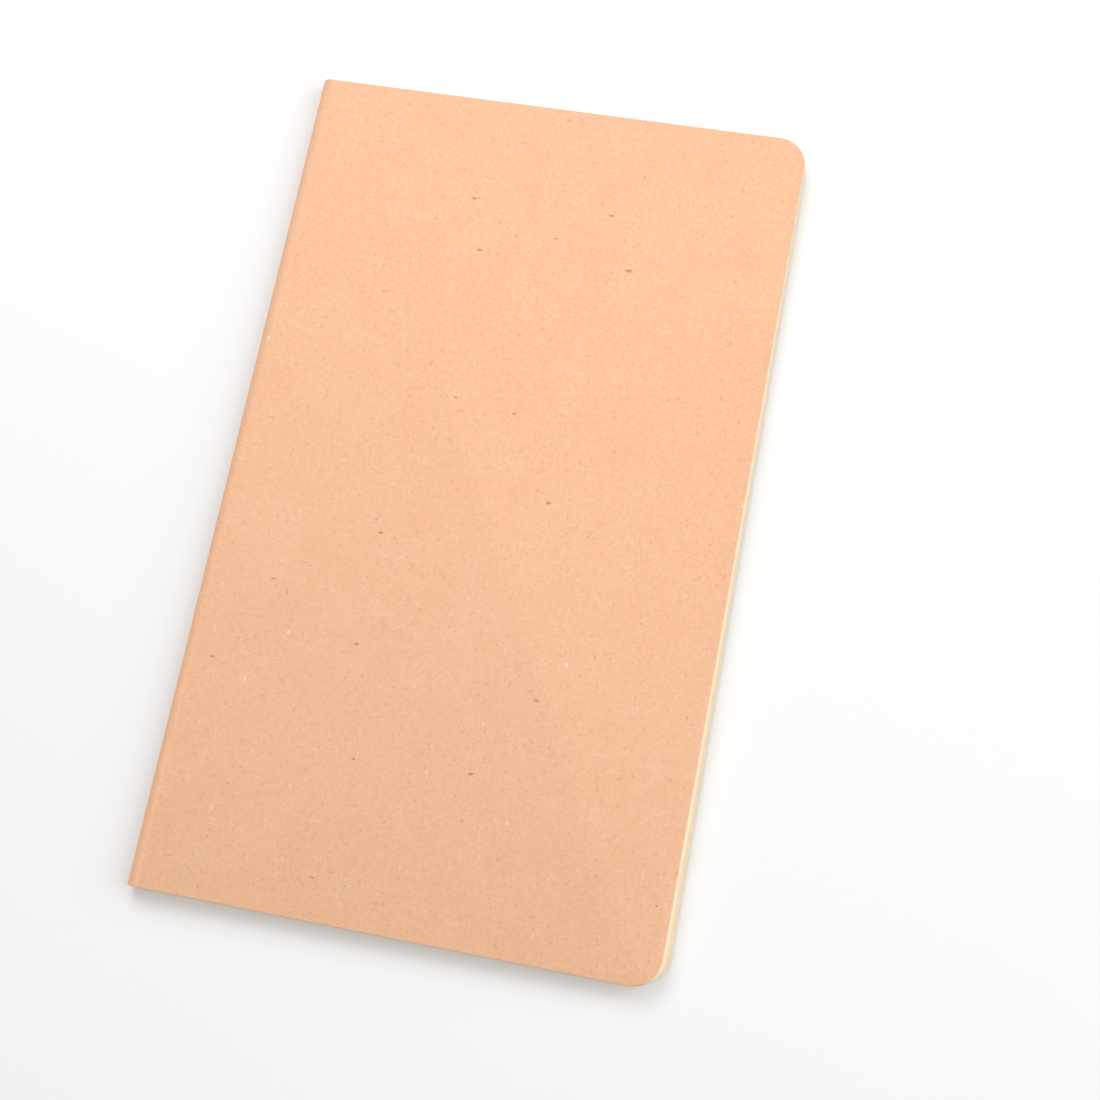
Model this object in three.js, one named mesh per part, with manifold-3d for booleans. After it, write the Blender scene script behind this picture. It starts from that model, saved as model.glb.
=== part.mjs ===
// A thread-sewn notebook with a kraft card cover, lying closed on its back cover.
// Millimetres. X runs from the spine (-X) to the fore edge (+X), Y from the tail (-Y) to the
// head (+Y) and Z up. The origin is under the middle of the closed book, on the surface it lies on.

import * as THREE from 'three';
import Module from 'manifold-3d';
import { mergeVertices } from 'three/addons/utils/BufferGeometryUtils.js';

// Covers
const bookHeight = 210;           // head to tail
const coverWidth = 126.5;          // spine's outer face to the covers' fore edge
const coverThickness = 0.4;       // kraft card
const cornerRadius = 7;           // the two fore-edge corners of covers and leaves
const cornerFlats = 8;            // flats round such a corner

// Leaves: each folded sheet is one front leaf and one rear leaf
const sheetCount = 20;
const leafThickness = 0.1;
const leafClearance = 0.01;       // air between neighbouring leaves
const coverClearance = 0.02;      // air between a cover and the outermost leaf
const overhangHead = 0.25;        // how far the deepest leaf passes the covers' fore edge at the head
const overhangTail = 1.75;        // and at the tail, because the sheets sit a little askew
const tailRise = 0.9;             // how far its tail edge has risen where it meets the fore edge
const topLeafShare = 0.5;         // the top leaf's share of these three

// The fold, where sheets and cover bend round the spine
const foldClearance = 0.05;       // between the sheets' folds and the spine of the cover
const foldFlats = 12;             // flats round the half turn of the fold

// Sewing: one thread along the outside of the spine and one along the centre fold,
// which meet in the needle holes
const threadThickness = 0.35;
const threadProud = 0.15;         // how far the outer thread stands out of the spine
const threadClearance = 0.03;     // round the straight runs of thread
const stitchPitch = 6;
const stitchMargin = 9;           // head or tail to the end holes, at least
const holeClearance = 0.15;       // round a thread in its needle hole
const grooveClearance = 0.2;      // beside the thread in the groove that it presses into the spine
const lockGap = 0.3;              // between the two threads' legs in each hole

// Derived sizes
const leafPitch = leafThickness + leafClearance;
const halfBlock = sheetCount * leafPitch;
const halfThickness = halfBlock + coverClearance + coverThickness;
const innerFoldRadius = halfThickness - coverThickness;
const sheetFoldRadius = innerFoldRadius - foldClearance;
const hingeClearance = threadThickness + 2 * threadClearance; // fold to flat leaves and covers
const panelWidth = coverWidth - halfThickness - hingeClearance;
const bookWidth = threadProud + coverWidth + overhangMost();
const spineX = -bookWidth / 2 + threadProud;
const foldX = spineX + halfThickness;
const foreX = spineX + coverWidth;
const grooveDepth = threadThickness - threadProud + threadClearance;
const grooveWidth = threadThickness + 2 * grooveClearance;
const holeWidth = threadThickness + 2 * holeClearance;
const stitchCount = Math.floor((bookHeight - 2 * stitchMargin) / stitchPitch) + 1;

// Materials
const kraft = new THREE.MeshStandardMaterial({ color: 0xe8b48c, roughness: 0.85, metalness: 0 });
const paper = new THREE.MeshStandardMaterial({ color: 0xf7ead0, roughness: 0.9, metalness: 0 });
const cotton = new THREE.MeshStandardMaterial({ color: 0xf1e6d2, roughness: 0.9, metalness: 0 });

const book = new THREE.Group();

function addPiece(name, geometry, material) {
  const piece = new THREE.Mesh(geometry, material);
  piece.name = name;
  book.add(piece);
  return piece;
}

// How a leaf passes the covers: by nothing at a share of 0, and as the deepest leaf does at 1.
// Its fore edge leans back from the tail to the head, and its tail edge tilts up to the fore edge.
function overhangAt(share) {
  const tail = overhangTail * share;
  const head = overhangHead * share;
  const rise = tailRise * share;
  return {
    tail, head, rise,
    lean: Math.atan2(tail - head, bookHeight - rise),
    tilt: Math.atan2(rise, panelWidth + tail),
  };
}

// The centre of the round that takes off a corner, between edges that run at these two angles
function roundCentre(cornerX, cornerY, before, after) {
  const reach = cornerRadius * Math.tan((after - before) / 2);
  return {
    x: cornerX - reach * Math.cos(before) - cornerRadius * Math.sin(before),
    y: cornerY - reach * Math.sin(before) + cornerRadius * Math.cos(before),
  };
}

// How far the deepest leaf passes the covers once its corners are round
function overhangMost() {
  const { tail, head, lean, tilt } = overhangAt(1);
  const up = Math.PI / 2 + lean;
  return cornerRadius + Math.max(
    roundCentre(tail, 0, tilt, up).x, roundCentre(head, 0, up, Math.PI).x);
}

function addRound(outline, cornerX, cornerY, before, after) {
  const centre = roundCentre(cornerX, cornerY, before, after);
  const quarter = Math.PI / 2;
  outline.absarc(centre.x, centre.y, cornerRadius, before - quarter, after - quarter, false);
}

// A flat panel from the fold to the fore edge, with two round corners there
function panelGeometry(overhang, thickness) {
  const half = bookHeight / 2;
  const near = foldX + hingeClearance;
  const tailY = overhang.rise - half;
  const up = Math.PI / 2 + overhang.lean;
  const outline = new THREE.Shape();
  outline.moveTo(near, half);
  outline.lineTo(near, -half);
  addRound(outline, foreX + overhang.tail, tailY, overhang.tilt, up);
  addRound(outline, foreX + overhang.head, half, up, Math.PI);
  outline.closePath();
  return new THREE.ExtrudeGeometry(outline, {
    depth: thickness, bevelEnabled: false, curveSegments: cornerFlats / 2,
  });
}

// Something with one section all along the spine. The section is drawn in X and Z.
function alongSpine(section) {
  const geometry = new THREE.ExtrudeGeometry(section, {
    depth: bookHeight, bevelEnabled: false, curveSegments: foldFlats / 2,
  });
  geometry.rotateX(Math.PI / 2);
  geometry.translate(0, bookHeight / 2, 0);
  return geometry;
}

// Booleans
const wasm = await Module();
wasm.setup();

function toSolid(geometry) {
  const bare = geometry.clone();
  bare.deleteAttribute('normal');
  bare.deleteAttribute('uv');
  const merged = mergeVertices(bare, 1e-5);
  return new wasm.Manifold(new wasm.Mesh({
    numProp: 3,
    vertProperties: new Float32Array(merged.attributes.position.array),
    triVerts: new Uint32Array(merged.index.array),
  }));
}

function toGeometry(solid) {
  const mesh = solid.getMesh();
  const geometry = new THREE.BufferGeometry();
  geometry.setAttribute('position', new THREE.BufferAttribute(mesh.vertProperties, 3));
  geometry.setIndex(new THREE.BufferAttribute(mesh.triVerts, 1));
  geometry.computeVertexNormals();
  return geometry;
}

function stitchY(index) {
  return (index - (stitchCount - 1) / 2) * stitchPitch;
}

// Needle holes: square, in a row along the middle of the spine
function pierce(geometry) {
  let solid = toSolid(geometry);
  for (let i = 0; i < stitchCount; i += 1) {
    const hole = new THREE.BoxGeometry(4 * halfThickness, holeWidth, holeWidth);
    hole.translate(foldX, stitchY(i), halfThickness);
    solid = solid.subtract(toSolid(hole));
  }
  return toGeometry(solid);
}

// Covers
function coverGeometry(bottomZ) {
  return panelGeometry(overhangAt(0), coverThickness).translate(0, 0, bottomZ);
}

addPiece('front_cover', coverGeometry(2 * halfThickness - coverThickness), kraft);
addPiece('back_cover', coverGeometry(0), kraft);

// The cover's spine: a half-round shell with a shallow groove for the thread
function coverSpineSection() {
  const grooveAngle = Math.asin(grooveWidth / 2 / halfThickness);
  const grooveX = spineX + grooveDepth;
  const section = new THREE.Shape();
  section.absarc(foldX, halfThickness, halfThickness, Math.PI / 2, Math.PI - grooveAngle, false);
  section.lineTo(grooveX, halfThickness + grooveWidth / 2);
  section.lineTo(grooveX, halfThickness - grooveWidth / 2);
  section.absarc(foldX, halfThickness, halfThickness, Math.PI + grooveAngle, 1.5 * Math.PI, false);
  section.absarc(foldX, halfThickness, innerFoldRadius, 1.5 * Math.PI, Math.PI / 2, true);
  section.closePath();
  return section;
}

addPiece('cover_spine', pierce(alongSpine(coverSpineSection())), kraft);

// The folds of all the sheets, nested one in the other
function pageFoldsSection() {
  const section = new THREE.Shape();
  section.absarc(foldX, halfThickness, sheetFoldRadius, Math.PI / 2, 1.5 * Math.PI, false);
  section.closePath();
  return section;
}

addPiece('page_folds', pierce(alongSpine(pageFoldsSection())), paper);

// Leaves, numbered from the outermost sheet to the innermost one
for (let i = 0; i < sheetCount; i += 1) {
  const number = String(i + 1).padStart(2, '0');
  const outerFace = coverThickness + coverClearance + i * leafPitch;
  const places = {
    front: 2 * halfThickness - outerFace - leafThickness,
    rear: outerFace,
  };
  const depths = { front: i, rear: 2 * sheetCount - 1 - i };
  for (const side of ['front', 'rear']) {
    const share = topLeafShare + (1 - topLeafShare) * depths[side] / (2 * sheetCount - 1);
    const leaf = panelGeometry(overhangAt(share), leafThickness);
    addPiece(`sheet_${number}_${side}_leaf`, leaf.translate(0, 0, places[side]), paper);
  }
}

// Threads: a straight bar with a leg into each needle hole, of one thickness all over
function threadGeometry(barFrom, barTo, legTo) {
  const half = threadThickness / 2;
  const end = stitchY(stitchCount - 1) + half;
  const outline = new THREE.Shape();
  outline.moveTo(barFrom, -end);
  for (let i = 0; i < stitchCount; i += 1) {
    const y = stitchY(i);
    outline.lineTo(i === 0 ? legTo : barTo, y - half);
    if (i > 0) outline.lineTo(legTo, y - half);
    outline.lineTo(legTo, y + half);
    if (i < stitchCount - 1) outline.lineTo(barTo, y + half);
  }
  outline.lineTo(barFrom, end);
  outline.closePath();
  const geometry = new THREE.ExtrudeGeometry(outline, {
    depth: threadThickness, bevelEnabled: false, curveSegments: 1,
  });
  return geometry.translate(0, 0, halfThickness - half);
}

const lockX = (spineX + foldX) / 2;
addPiece('outer_thread', threadGeometry(
  spineX - threadProud, spineX - threadProud + threadThickness, lockX - lockGap / 2), cotton);
addPiece('inner_thread', threadGeometry(
  foldX + threadClearance + threadThickness, foldX + threadClearance, lockX + lockGap / 2), cotton);

export default book;
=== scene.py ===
import math
import random

import bmesh
import bpy
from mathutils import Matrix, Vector


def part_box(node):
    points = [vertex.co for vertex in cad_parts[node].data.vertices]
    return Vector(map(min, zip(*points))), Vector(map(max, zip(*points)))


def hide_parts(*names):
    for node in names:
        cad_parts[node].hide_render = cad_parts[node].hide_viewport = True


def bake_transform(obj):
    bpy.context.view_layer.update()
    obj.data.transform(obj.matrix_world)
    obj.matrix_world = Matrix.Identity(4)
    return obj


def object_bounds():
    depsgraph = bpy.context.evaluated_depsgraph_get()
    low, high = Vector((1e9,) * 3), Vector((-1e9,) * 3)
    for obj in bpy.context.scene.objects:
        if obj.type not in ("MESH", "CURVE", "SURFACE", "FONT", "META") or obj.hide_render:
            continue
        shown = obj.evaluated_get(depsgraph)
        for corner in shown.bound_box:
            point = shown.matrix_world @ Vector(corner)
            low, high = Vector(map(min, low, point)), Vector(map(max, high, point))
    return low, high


# A thread-sewn notebook: a kraft card cover, twenty folded sheets and a lockstitch along the fold.
# Metres. X runs from the spine to the fore edge, Y from the tail to the head, and Z up. The closed
# book lies on its back cover.

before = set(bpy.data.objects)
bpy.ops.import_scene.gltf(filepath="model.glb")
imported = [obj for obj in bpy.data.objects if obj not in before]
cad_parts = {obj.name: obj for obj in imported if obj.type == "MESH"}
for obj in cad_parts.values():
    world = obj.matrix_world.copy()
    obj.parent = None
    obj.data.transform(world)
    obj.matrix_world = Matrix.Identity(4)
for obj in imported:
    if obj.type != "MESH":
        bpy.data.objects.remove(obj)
CAD_LOW, CAD_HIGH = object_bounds()
MM = 0.001

# --------------------------------------------------------------------------- sizes from the frame

FRONT_LOW, FRONT_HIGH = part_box("front_cover")
BACK_LOW, BACK_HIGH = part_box("back_cover")
SPINE_LOW, SPINE_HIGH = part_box("cover_spine")
THREAD_LOW, THREAD_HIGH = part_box("outer_thread")
INNER_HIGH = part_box("inner_thread")[1]

CARD = FRONT_HIGH.z - FRONT_LOW.z                       # thickness of the cover
FOLD_X = SPINE_HIGH.x                                   # the line round which everything folds
FOLD_Z = (SPINE_LOW.z + SPINE_HIGH.z) / 2
SPINE_RADIUS = (SPINE_HIGH.z - SPINE_LOW.z) / 2         # outside of the rounded spine
SPINE_X = FOLD_X - SPINE_RADIUS
TAIL_Y, HEAD_Y = FRONT_LOW.y, FRONT_HIGH.y
FORE_X = FRONT_HIGH.x
THREAD = THREAD_HIGH.z - THREAD_LOW.z
CORNER = 7 * MM                                         # radius of the fore-edge corners
SEAM = FRONT_LOW.x - FOLD_X                             # flat strip beside the fold
CREASE = 2.2 * MM                                       # how much card bends when a cover opens
HEAD_SHARE = 0.25 / 1.75                                # a leaf's overhang at the head, of the tail's
RISE_SHARE = 0.90 / 1.75                                # how far its tail edge rises, likewise
CUT_SOFTNESS = 0.07 * MM                                # how far the card's cut edges are rounded
SHARP_CORNER = 1.2                                      # radians; only cut edges turn this much

# Flats round the bends
CORNER_FLATS = 12
CREASE_FLATS = 12
SPINE_FLATS = 28
SHEET_FLATS = 14
TIGHT_SHEET_FLATS = 8                                   # for the innermost folds
TIGHT_RADIUS = 0.7 * MM

STITCH = 6 * MM
FIRST_HOLE = THREAD_LOW.y + THREAD / 2
STITCHES = round((THREAD_HIGH.y - THREAD_LOW.y - THREAD) / STITCH) + 1
HOLES = [FIRST_HOLE + i * STITCH for i in range(STITCHES)]
CUTS_PER_STITCH = 8                                     # edge loops along the spine
GROOVE_HALF_WIDTH = 0.42 * MM                           # of the dent that the thread presses in
GROOVE_DEPTH = 0.13 * MM
HOLE_PULL = 0.16 * MM                                   # how much deeper it is at a needle hole
HOLE_PULL_REACH = 0.8 * MM

SHEETS = sorted(n[:8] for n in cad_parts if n.endswith("_front_leaf"))

# --------------------------------------------------------------------------- camera and light

LENS = 60.82                                            # millimetres
EYE = (SPINE_X + 148.70 * MM, -109.10 * MM, 432.67 * MM)
EYE_TURN = (14.476, 6.007, 11.207)                      # degrees about X, Y and Z
SKY_STRENGTH = 0.58

camera_data = bpy.data.cameras.new("camera")
camera_data.lens = LENS
camera_data.clip_start = 0.01
camera = bpy.data.objects.new("camera", camera_data)
bpy.context.scene.collection.objects.link(camera)
camera.location = EYE
camera.rotation_euler = [math.radians(angle) for angle in EYE_TURN]
bpy.context.scene.camera = camera


def add_softbox(name, place, size, power):
    """A square area light that faces the middle of the book."""
    data = bpy.data.lights.new(name, "AREA")
    data.shape = "SQUARE"
    data.size = size
    data.energy = power
    lamp = bpy.data.objects.new(name, data)
    bpy.context.scene.collection.objects.link(lamp)
    lamp.location = place
    lamp.rotation_mode = "QUATERNION"
    lamp.rotation_quaternion = (-Vector(place)).to_track_quat("-Z", "Y")


add_softbox("key_softbox", place=(-0.20, 0.42, 0.62), size=0.5, power=2.65)
add_softbox("fill_softbox", place=(0.80, 0.15, 0.60), size=0.9, power=5.0)

world = bpy.data.worlds.new("studio")
world.use_nodes = True
world.node_tree.nodes["Background"].inputs["Color"].default_value = (1.0, 1.0, 1.0, 1)
world.node_tree.nodes["Background"].inputs["Strength"].default_value = SKY_STRENGTH
bpy.context.scene.world = world
bpy.context.scene.view_settings.view_transform = "Standard"

# --------------------------------------------------------------------------- shader node helpers


def new_group(name, inputs, outputs):
    """A node group; inputs is {name: (socket type, default)} and outputs {name: socket type}."""
    group = bpy.data.node_groups.new(name, "ShaderNodeTree")
    for label, (kind, default) in inputs.items():
        socket = group.interface.new_socket(label, in_out="INPUT", socket_type=kind)
        if default is not None:
            socket.default_value = default
    for label, kind in outputs.items():
        group.interface.new_socket(label, in_out="OUTPUT", socket_type=kind)
    return group, group.nodes.new("NodeGroupInput"), group.nodes.new("NodeGroupOutput")


def add_node(tree, kind, settings=None, **inputs):
    """A node with its settings; each input is a value or another node's socket."""
    node = tree.nodes.new(kind)
    for key, value in (settings or {}).items():
        setattr(node, key, value)
    for key, value in inputs.items():
        set_input(tree, node, key.replace("_", " "), value)
    return node


def set_input(tree, node, key, value):
    socket = node.inputs[key]
    if isinstance(value, bpy.types.NodeSocket):
        tree.links.new(value, socket)
    else:
        socket.default_value = value


def math_node(tree, operation, *values):
    node = tree.nodes.new("ShaderNodeMath")
    node.operation = operation
    for i, value in enumerate(values):
        if isinstance(value, bpy.types.NodeSocket):
            tree.links.new(value, node.inputs[i])
        else:
            node.inputs[i].default_value = value
    return node.outputs[0]


def map_range(tree, value, low, high, to_low=0.0, to_high=1.0, smooth=False):
    node = tree.nodes.new("ShaderNodeMapRange")
    node.interpolation_type = "SMOOTHSTEP" if smooth else "LINEAR"
    tree.links.new(value, node.inputs["Value"])
    node.inputs["From Min"].default_value = low
    node.inputs["From Max"].default_value = high
    node.inputs["To Min"].default_value = to_low
    node.inputs["To Max"].default_value = to_high
    return node.outputs["Result"]


def mix_colour(tree, factor, a, b):
    node = tree.nodes.new("ShaderNodeMix")
    node.data_type = "RGBA"
    for i, value in ((0, factor), (6, a), (7, b)):
        if isinstance(value, bpy.types.NodeSocket):
            tree.links.new(value, node.inputs[i])
        else:
            node.inputs[i].default_value = value if i == 0 else (*value, 1)
    return node.outputs[2]


def stretched(tree, vector, scale, turn=(0, 0, 0), offset=(0, 0, 0)):
    node = tree.nodes.new("ShaderNodeMapping")
    tree.links.new(vector, node.inputs["Vector"])
    node.inputs["Scale"].default_value = scale
    node.inputs["Rotation"].default_value = turn
    node.inputs["Location"].default_value = offset
    return node.outputs["Vector"]


def noise(tree, vector, scale, detail=2.0, roughness=0.5, distortion=0.0):
    node = add_node(
        tree, "ShaderNodeTexNoise", Vector=vector, Scale=scale, Detail=detail,
        Roughness=roughness, Distortion=distortion)
    return node.outputs["Fac"]


# --------------------------------------------------------------------------- shared effects

PER_MM = 1000.0                     # texture scale for one feature per millimetre


def make_cloud_group():
    """Uneven pulp: broad clouds, a mottle, a fine grain and crossed fibres."""
    group, given, out = new_group(
        "pulp clouds", {"Vector": ("NodeSocketVector", None)},
        {
            "Cloud": "NodeSocketFloat",
            "Mottle": "NodeSocketFloat",
            "Grain": "NodeSocketFloat",
            "Fibre": "NodeSocketFloat",
        })
    at = given.outputs["Vector"]
    cloud = noise(group, at, 0.09 * PER_MM, detail=4, roughness=0.6, distortion=0.4)
    mottle = noise(group, at, 0.75 * PER_MM, detail=3, roughness=0.65, distortion=0.3)
    grain = noise(group, at, 2.2 * PER_MM, detail=3, roughness=0.62)
    group.links.new(cloud, out.inputs["Cloud"])
    group.links.new(mottle, out.inputs["Mottle"])
    group.links.new(grain, out.inputs["Grain"])
    along = noise(group, stretched(group, at, (1.0, 0.16, 1.0), (0, 0, 0.35)), 2.6 * PER_MM, 2)
    across = noise(group, stretched(group, at, (0.18, 1.0, 1.0), (0, 0, -0.25)), 2.4 * PER_MM, 2)
    fibre = math_node(group, "MAXIMUM", along, across)
    group.links.new(fibre, out.inputs["Fibre"])
    return group


def make_fleck_group():
    """Scattered flecks. Spacing and Size are in millimetres, and Share is how many cells hold one."""
    group, given, out = new_group(
        "flecks",
        {
            "Vector": ("NodeSocketVector", None),
            "Spacing": ("NodeSocketFloat", 4.0),
            "Size": ("NodeSocketFloat", 0.3),
            "Share": ("NodeSocketFloat", 0.5),
        },
        {"Mask": "NodeSocketFloat", "Chance": "NodeSocketFloat"})
    wobble = add_node(group, "ShaderNodeTexNoise", Vector=given.outputs["Vector"], Detail=1.0)
    wobble.inputs["Scale"].default_value = 2.5 * PER_MM
    shift = add_node(group, "ShaderNodeVectorMath", {"operation": "SUBTRACT"})
    group.links.new(wobble.outputs["Color"], shift.inputs[0])
    shift.inputs[1].default_value = (0.5, 0.5, 0.5)
    small = add_node(group, "ShaderNodeVectorMath", {"operation": "SCALE"})
    group.links.new(shift.outputs["Vector"], small.inputs[0])
    small.inputs["Scale"].default_value = 0.45 * MM
    moved = add_node(group, "ShaderNodeVectorMath", {"operation": "ADD"})
    group.links.new(given.outputs["Vector"], moved.inputs[0])
    group.links.new(small.outputs["Vector"], moved.inputs[1])
    cells = add_node(group, "ShaderNodeTexVoronoi", Vector=moved.outputs["Vector"])
    group.links.new(
        math_node(group, "DIVIDE", PER_MM, given.outputs["Spacing"]), cells.inputs["Scale"])
    chance = add_node(group, "ShaderNodeSeparateColor", Color=cells.outputs["Color"])
    reach = math_node(group, "DIVIDE", given.outputs["Size"], given.outputs["Spacing"])
    growth = map_range(group, chance.outputs["Green"], 0, 1, 0.45, 1.3)
    uneven = math_node(group, "MULTIPLY", reach, growth)
    from_middle = math_node(group, "DIVIDE", cells.outputs["Distance"], uneven)
    depth = math_node(group, "SUBTRACT", 1.0, from_middle)
    spot = map_range(group, depth, 0.0, 0.45, smooth=True)
    chosen = math_node(group, "LESS_THAN", chance.outputs["Red"], given.outputs["Share"])
    group.links.new(math_node(group, "MULTIPLY", spot, chosen), out.inputs["Mask"])
    group.links.new(chance.outputs["Blue"], out.inputs["Chance"])
    return group


CLOUDS = make_cloud_group()
FLECKS = make_fleck_group()


def add_group(tree, group, **inputs):
    node = tree.nodes.new("ShaderNodeGroup")
    node.node_tree = group
    for key, value in inputs.items():
        set_input(tree, node, key, value)
    return node


def new_material(name, roughness, specular):
    material = bpy.data.materials.new(name)
    material.use_nodes = True
    tree = material.node_tree
    shader = tree.nodes["Principled BSDF"]
    shader.inputs["Roughness"].default_value = roughness
    shader.inputs["Specular IOR Level"].default_value = specular
    at = tree.nodes.new("ShaderNodeTexCoord").outputs["Object"]
    return material, tree, shader, at


def add_bump(tree, shader, height, distance):
    bump = add_node(tree, "ShaderNodeBump", Height=height)
    bump.inputs["Distance"].default_value = distance
    bump.inputs["Strength"].default_value = 1.0
    tree.links.new(bump.outputs["Normal"], shader.inputs["Normal"])


# --------------------------------------------------------------------------- materials

KRAFT = (0.825, 0.468, 0.282)
KRAFT_PALE = (0.850, 0.500, 0.310)
KRAFT_DEEP = (0.700, 0.375, 0.205)
SHIVE = (0.20, 0.095, 0.045)        # bark and shives in the pulp
SHIVE_PALE = (0.50, 0.235, 0.12)
PULP_WHITE = (0.93, 0.74, 0.55)
CREAM = (0.905, 0.775, 0.585)
CREAM_DEEP = (0.865, 0.730, 0.535)
# Paler than CREAM: painted light on the cut edges, standing in for light scattered through the stacked
# leaves
PAINTED_LIGHT_EDGE_CREAM = (0.965, 0.925, 0.800)
THREAD_PALE = (0.80, 0.74, 0.63)
THREAD_DEEP = (0.62, 0.55, 0.43)


def make_kraft(name, pale=0.0):
    """Recycled kraft card: clouded brown, with dark shives, pale fibres and a soft tooth."""
    material, tree, shader, at = new_material(name, 0.72, 0.28)
    pulp = add_group(tree, CLOUDS, Vector=at)
    cloud = map_range(tree, pulp.outputs["Cloud"], 0.32, 0.68, 0.25, 0.75, smooth=True)
    colour = mix_colour(tree, cloud, KRAFT, KRAFT_PALE)
    dark_mottle = map_range(tree, pulp.outputs["Mottle"], 0.50, 0.72, 0.0, 0.42)
    colour = mix_colour(tree, dark_mottle, colour, KRAFT_DEEP)
    dark_grain = map_range(tree, pulp.outputs["Grain"], 0.50, 0.74, 0.0, 0.55)
    colour = mix_colour(tree, dark_grain, colour, KRAFT_DEEP)
    pale_grain = map_range(tree, pulp.outputs["Fibre"], 0.62, 0.80, 0.0, 0.35)
    colour = mix_colour(tree, pale_grain, colour, PULP_WHITE)
    layers = [
        # spacing, size, share, tone, strength, stretch, turn
        (1.15, 0.28, 0.60, SHIVE_PALE, 0.34, (1.0, 0.7, 1.0), 0.5),
        (2.1, 0.34, 0.60, SHIVE_PALE, 0.46, (0.6, 1.0, 1.0), -0.4),
        (3.6, 0.34, 0.60, SHIVE_PALE, 0.75, (1.0, 0.55, 1.0), 1.1),
        (6.5, 0.46, 0.60, SHIVE, 0.85, (0.5, 1.0, 1.0), 0.3),
        (2.5, 0.30, 0.50, PULP_WHITE, 0.40, (1.0, 0.7, 1.0), 0.2),
        (6.5, 0.40, 0.60, PULP_WHITE, 0.62, (1.0, 0.6, 1.0), -0.8),
    ]
    for i, (spacing, size, share, tone, strength, stretch, turn) in enumerate(layers):
        shifted = stretched(tree, at, stretch, (0, 0, turn), (0.031 * i, 0.017 * i, 0.0013 * i))
        fleck = add_group(tree, FLECKS, Vector=shifted, Spacing=spacing, Size=size, Share=share)
        faded = map_range(tree, fleck.outputs["Chance"], 0, 1, 0.35 * strength, strength)
        shown = math_node(tree, "MULTIPLY", fleck.outputs["Mask"], faded)
        colour = mix_colour(tree, shown, colour, tone)
    if pale:
        torn = noise(tree, stretched(tree, at, (1.0, 1.0, 6.0)), 2.0 * PER_MM, 3)
        torn_pale = map_range(tree, torn, 0.3, 0.7, 0.4 * pale, pale)
        colour = mix_colour(tree, torn_pale, colour, PULP_WHITE)
    tree.links.new(colour, shader.inputs["Base Color"])
    soft_fibre = math_node(tree, "MULTIPLY", pulp.outputs["Fibre"], 0.7)
    tooth = math_node(tree, "ADD", pulp.outputs["Grain"], soft_fibre)
    add_bump(tree, shader, tooth, 0.022 * MM)
    rough = map_range(tree, pulp.outputs["Grain"], 0.3, 0.7, 0.66, 0.80)
    tree.links.new(rough, shader.inputs["Roughness"])
    return material


def make_paper(name, edge=False):
    """Cream writing paper; on the cut edges each leaf has its own faint tone, over a paler cream that is
    painted light standing in for light scattered through the stacked leaves.
    """
    material, tree, shader, at = new_material(name, 0.82, 0.25)
    pulp = add_group(tree, CLOUDS, Vector=at)
    # the cut edges take the paler cream, which is painted light
    pale = PAINTED_LIGHT_EDGE_CREAM if edge else CREAM
    dark_cloud = map_range(tree, pulp.outputs["Cloud"], 0.3, 0.7, 0.0, 0.45)
    colour = mix_colour(tree, dark_cloud, pale, CREAM_DEEP)
    dark_grain = map_range(tree, pulp.outputs["Grain"], 0.45, 0.75, 0.0, 0.30)
    colour = mix_colour(tree, dark_grain, colour, CREAM_DEEP)
    if edge:
        streaks = noise(tree, stretched(tree, at, (0.05, 0.02, 9.0)), 1.0 * PER_MM, 2)
        dark_streaks = map_range(tree, streaks, 0.35, 0.7, 0.0, 0.8)
        colour = mix_colour(tree, dark_streaks, colour, CREAM_DEEP)
    tree.links.new(colour, shader.inputs["Base Color"])
    tooth = math_node(tree, "ADD", pulp.outputs["Grain"], pulp.outputs["Fibre"])
    add_bump(tree, shader, tooth, (0.03 if edge else 0.010) * MM)
    return material


def make_cotton(name):
    """Cotton sewing thread: pale, with fine lengthwise hairs."""
    material, tree, shader, at = new_material(name, 0.62, 0.35)
    hairs = noise(tree, stretched(tree, at, (5.0, 1.2, 5.0)), 3.0 * PER_MM, 2)
    colour = mix_colour(tree, map_range(tree, hairs, 0.3, 0.7), THREAD_PALE, THREAD_DEEP)
    tree.links.new(colour, shader.inputs["Base Color"])
    add_bump(tree, shader, hairs, 0.03 * MM)
    return material


KRAFT_FACE = make_kraft("kraft card")
KRAFT_CUT = make_kraft("kraft card, cut edge", 0.30)
PAPER_FACE = make_paper("cream paper")
# the cut-edge paper is painted paler than the faces: painted light
PAPER_CUT = make_paper("cream paper, cut edge with painted light", edge=True)
COTTON = make_cotton("cotton thread")

# --------------------------------------------------------------------------- mesh helpers


def finish_piece(name, bm, materials, sharp_angle=math.radians(35)):
    """Turns a bmesh into an object; edges sharper than the angle stay crisp, the rest are smooth."""
    bm.normal_update()
    for face in bm.faces:
        face.smooth = True
    for edge in bm.edges:
        edge.smooth = len(edge.link_faces) == 2 and edge.calc_face_angle(0) < sharp_angle
    mesh = bpy.data.meshes.new(name)
    bm.to_mesh(mesh)
    bm.free()
    for material in materials:
        mesh.materials.append(material)
    piece = bpy.data.objects.new(name, mesh)
    bpy.context.scene.collection.objects.link(piece)
    return piece


def cut_across(bm, axis, places):
    """Adds an edge loop at each place along an axis."""
    normal = Vector((axis == 0, axis == 1, 0))
    for place in places:
        point = Vector((place if axis == 0 else 0, place if axis == 1 else 0, 0))
        geometry = bm.verts[:] + bm.edges[:] + bm.faces[:]
        bmesh.ops.bisect_plane(bm, geom=geometry, plane_co=point, plane_no=normal, dist=1e-8)


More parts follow.
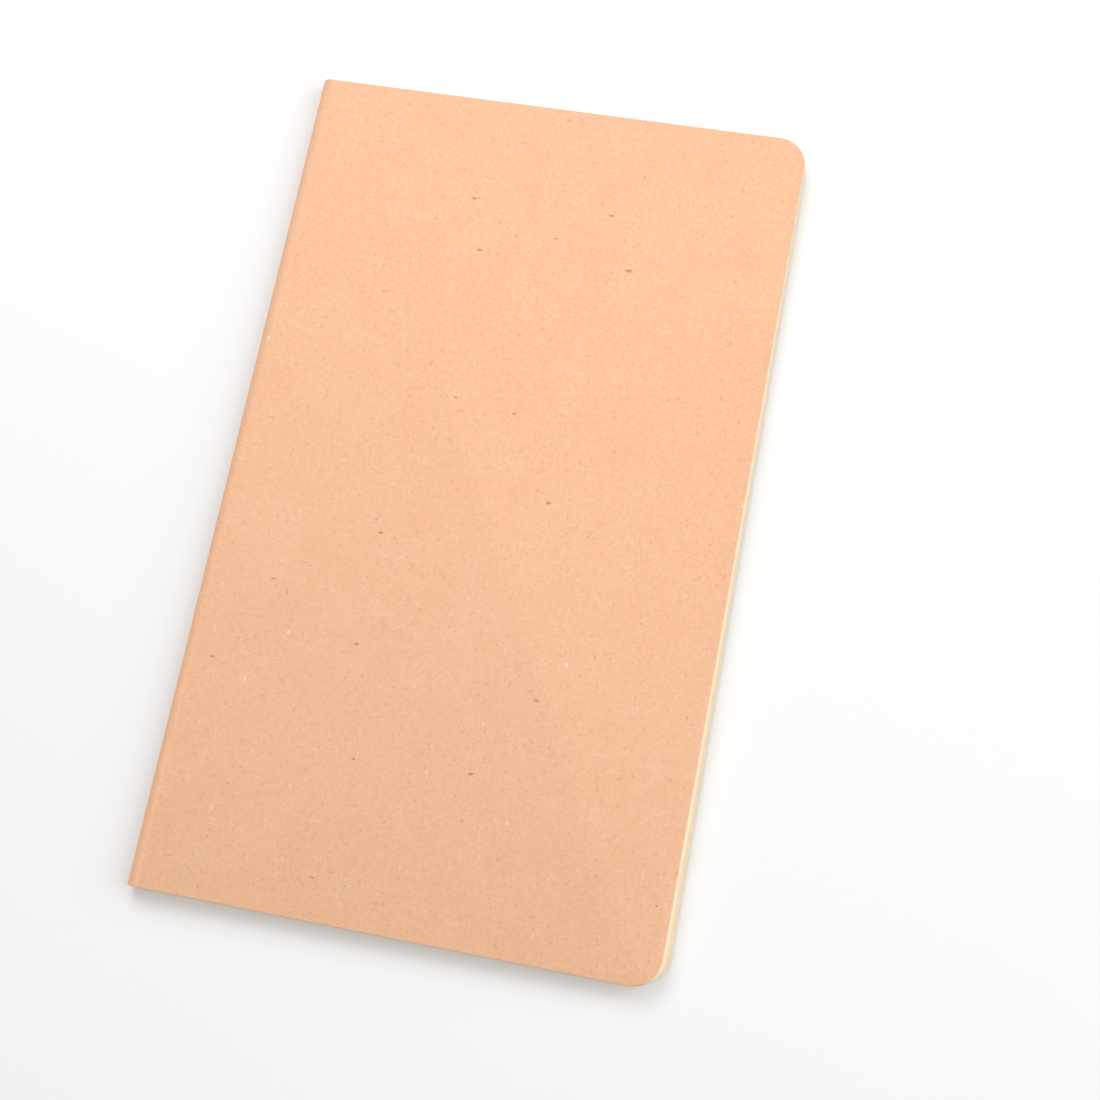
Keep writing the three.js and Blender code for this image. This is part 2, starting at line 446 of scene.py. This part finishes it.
def flat_outline(left, right, rounded_left=False, rounded_right=True, rises=(0, 0)):
    """A flat strip from tail to head. left and right are (place at the tail, place at the head), and
    rises says how far its tail edge has risen at its left and right ends."""
    bm = bmesh.new()
    bmesh.ops.create_grid(bm, x_segments=1, y_segments=1, size=0.5)
    corners = []
    for vertex in bm.verts:
        on_right, at_head = vertex.co.x > 0, vertex.co.y > 0
        vertex.co.x = (right if on_right else left)[at_head]
        vertex.co.y = HEAD_Y if at_head else TAIL_Y + rises[on_right]
        if rounded_right if on_right else rounded_left:
            corners.append(vertex)
    if corners:
        bmesh.ops.bevel(
            bm, geom=corners, offset=CORNER, affect="VERTICES", segments=CORNER_FLATS, profile=0.5,
            material=-1)
    return bm


def thicken(bm, thickness):
    """Gives a sheet its thickness, equally to both sides."""
    bm.normal_update()
    for vertex in bm.verts:
        vertex.normal_update()
    half = {vertex: vertex.normal * (thickness / 2) for vertex in bm.verts}
    for vertex, step in half.items():
        vertex.co += step
    bmesh.ops.solidify(bm, geom=bm.faces[:], thickness=thickness)
    bmesh.ops.recalc_face_normals(bm, faces=bm.faces[:])
    bm.normal_update()


def fold_round(bm, radius):
    """Bends a flat strip, drawn round s = 0, to a U whose bend has this middle radius."""
    quarter = math.pi * radius / 2
    for vertex in bm.verts:
        s = vertex.co.x
        if abs(s) <= quarter:
            angle = math.pi - s / radius
            vertex.co.x = FOLD_X + radius * math.cos(angle)
            vertex.co.z = FOLD_Z + radius * math.sin(angle)
        else:
            vertex.co.x = FOLD_X + abs(s) - quarter
            vertex.co.z = FOLD_Z + math.copysign(radius, s)


def bend_cuts(radius, steps):
    quarter = math.pi * radius / 2
    return [quarter * (2 * i / steps - 1) for i in range(steps + 1)]


# --------------------------------------------------------------------------- the card cover


def is_rim(face):
    """True on the narrow cut faces of a flat panel or of a strip bent round Y."""
    return abs(face.normal.y) > 0.5 or (
        abs(face.normal.z) < 0.5 and face.calc_center_median().x > FOLD_X + CREASE)


def soften_rim(bm, keep_x):
    """Rounds the cut edges of the card slightly, except where it meets its neighbour at keep_x."""
    edges = []
    for edge in bm.edges:
        if len(edge.link_faces) != 2 or edge.calc_face_angle(0) < SHARP_CORNER:
            continue
        if all(abs(v.co.x - keep_x) < 1e-6 for v in edge.verts):
            continue
        edges.append(edge)
    bmesh.ops.bevel(
        bm, geom=edges, offset=CUT_SOFTNESS, affect="EDGES", segments=2, profile=0.5, material=-1)


def make_cover(name, node, middle_z):
    """One flat cover, from the strip at the fold to the fore edge."""
    near = FOLD_X + SEAM
    bm = flat_outline((near, near), (FORE_X, FORE_X))
    cut_across(bm, 0, [near + CREASE * (i + 1) / CREASE_FLATS for i in range(CREASE_FLATS)])
    for vertex in bm.verts:
        vertex.co.z = middle_z
    thicken(bm, CARD)
    for face in bm.faces:
        face.material_index = int(is_rim(face))
    soften_rim(bm, near)
    piece = finish_piece(name, bm, [KRAFT_FACE, KRAFT_CUT])
    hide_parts(node)
    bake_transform(piece)


def make_cover_spine():
    """The part of the card that runs round the spine, pressed in along the row of stitches."""
    radius = SPINE_RADIUS - CARD / 2
    quarter = math.pi * radius / 2
    reach = quarter + SEAM
    bm = flat_outline((-reach, -reach), (reach, reach), rounded_right=False)
    cut_across(bm, 0, bend_cuts(radius, SPINE_FLATS))
    count = STITCHES * CUTS_PER_STITCH
    cut_across(bm, 1, [TAIL_Y + (HEAD_Y - TAIL_Y) * i / count for i in range(1, count)])
    along = {vertex: (vertex.co.x, vertex.co.y) for vertex in bm.verts}
    fold_round(bm, radius)
    bm.normal_update()
    for vertex, (s, y) in along.items():
        if not HOLES[0] - STITCH / 2 < y < HOLES[-1] + STITCH / 2:
            continue
        nearest = min(abs(y - hole) for hole in HOLES)
        groove = math.exp(-(s / GROOVE_HALF_WIDTH) ** 2)
        pull = GROOVE_DEPTH + HOLE_PULL * math.exp(-(nearest / HOLE_PULL_REACH) ** 2)
        vertex.co.x += groove * pull
    thicken(bm, CARD)
    for face in bm.faces:
        face.material_index = int(abs(face.normal.y) > 0.5)
    piece = finish_piece("cover_spine_card", bm, [KRAFT_FACE, KRAFT_CUT])
    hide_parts("cover_spine")
    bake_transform(piece)


make_cover(
    "front_cover_card", "front_cover", (FRONT_LOW.z + FRONT_HIGH.z) / 2)
make_cover(
    "back_cover_card", "back_cover", (BACK_LOW.z + BACK_HIGH.z) / 2)
make_cover_spine()

# --------------------------------------------------------------------------- the folded sheets

LEAF_SLIP = 0.06 * MM                # how far a leaf may lie out of line with its neighbours
LEAF_LEAN = 0.03 * MM                # how much more or less it may do so at the head

random.seed(7)


def leaf_edge(node):
    """Where a leaf's fore edge lies at the tail and at the head, with the small slips of a real stack."""
    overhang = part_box(node)[1].x - FORE_X
    slip = random.uniform(-LEAF_SLIP, LEAF_SLIP)
    tail = overhang + slip
    head = overhang * HEAD_SHARE + slip + random.uniform(-LEAF_LEAN, LEAF_LEAN)
    reach = FORE_X - FOLD_X
    return reach + tail, reach + head, overhang * RISE_SHARE


def make_sheet(sheet):
    front, rear = sheet + "_front_leaf", sheet + "_rear_leaf"
    low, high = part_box(rear)
    thickness = high.z - low.z
    radius = FOLD_Z - (low.z + high.z) / 2
    quarter = math.pi * radius / 2
    front_tail, front_head, front_rise = leaf_edge(front)
    rear_tail, rear_head, rear_rise = leaf_edge(rear)
    bm = flat_outline(
        (-quarter - rear_tail, -quarter - rear_head), (quarter + front_tail, quarter + front_head),
        rounded_left=True, rises=(rear_rise, front_rise))
    flats = TIGHT_SHEET_FLATS if radius < TIGHT_RADIUS else SHEET_FLATS
    cut_across(bm, 0, bend_cuts(radius, flats))
    fold_round(bm, radius)
    thicken(bm, thickness)
    for face in bm.faces:
        face.material_index = int(is_rim(face))
    piece = finish_piece("folded_" + sheet, bm, [PAPER_FACE, PAPER_CUT])
    if sheet == SHEETS[0]:
        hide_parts(front, rear, "page_folds")
    else:
        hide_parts(front, rear)
    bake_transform(piece)


for sheet_name in SHEETS:
    make_sheet(sheet_name)

# --------------------------------------------------------------------------- the sewing thread

PLY_RADIUS = THREAD * 0.27
PLY_OFFSET = THREAD * 0.23
TWIST = 1.3 * MM
DIP = 0.45 * MM                      # how deep the thread goes into a needle hole
DIP_HALF_WIDTH = 0.42 * MM
THREAD_END = 0.35 * MM               # how far it runs on past the end holes
ROUTE_STEP = 0.13 * MM


def thread_route(run_x, dip):
    """A thread's middle line: along the fold, with a dip of this depth into each needle hole."""
    low, high = HOLES[0] - THREAD_END, HOLES[-1] + THREAD_END
    steps = int((high - low) / ROUTE_STEP)
    route = []
    for i in range(steps + 1):
        y = low + (high - low) * i / steps
        nearest = min(abs(y - hole) for hole in HOLES)
        depth = math.exp(-(nearest / DIP_HALF_WIDTH) ** 2)
        route.append(Vector((run_x + dip * depth, y, FOLD_Z)))
    return route


def make_thread(name, node, run_x, dip):
    """A two-ply twisted thread along its route."""
    route = thread_route(run_x, dip)
    curve = bpy.data.curves.new(name, "CURVE")
    curve.dimensions = "3D"
    curve.bevel_depth = PLY_RADIUS
    curve.bevel_resolution = 1
    curve.use_fill_caps = True
    for ply in range(2):
        spline = curve.splines.new("POLY")
        spline.points.add(len(route) - 1)
        for i, place in enumerate(route):
            turn = 2 * math.pi * place.y / TWIST + math.pi * ply
            offset = Vector((math.cos(turn), 0, math.sin(turn))) * PLY_OFFSET
            spline.points[i].co = (*(place + offset), 1)
    drawn = bpy.data.objects.new(name + "_line", curve)
    bpy.context.scene.collection.objects.link(drawn)
    bpy.context.view_layer.update()
    depsgraph = bpy.context.evaluated_depsgraph_get()
    mesh = bpy.data.meshes.new_from_object(drawn.evaluated_get(depsgraph))
    bpy.data.objects.remove(drawn)
    bm = bmesh.new()
    bm.from_mesh(mesh)
    bmesh.ops.remove_doubles(bm, verts=bm.verts[:], dist=1e-7)
    bmesh.ops.recalc_face_normals(bm, faces=bm.faces[:])
    piece = finish_piece(name, bm, [COTTON], math.radians(70))
    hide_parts(node)
    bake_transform(piece)


make_thread("needle_thread", "outer_thread", THREAD_LOW.x + THREAD / 2, DIP)
make_thread("bobbin_thread", "inner_thread", INNER_HIGH.x - THREAD / 2, -DIP)

# --------------------------------------------------------------------------- the floor


FLOOR_HALF = 3.0                     # metres from its middle to an edge
FLOOR_PALE = (0.88, 0.88, 0.88)
FLOOR_DEEP = (0.86, 0.86, 0.86)


def make_floor():
    bm = bmesh.new()
    bmesh.ops.create_grid(bm, x_segments=1, y_segments=1, size=FLOOR_HALF)
    for vertex in bm.verts:
        vertex.co.z = CAD_LOW.z
    material, tree, shader, at = new_material("pale studio floor", 0.9, 0.1)
    soft = noise(tree, at, 3.0, 2)
    tone = mix_colour(tree, map_range(tree, soft, 0.3, 0.7), FLOOR_DEEP, FLOOR_PALE)
    tree.links.new(tone, shader.inputs["Base Color"])
    finish_piece("floor", bm, [material])


make_floor()
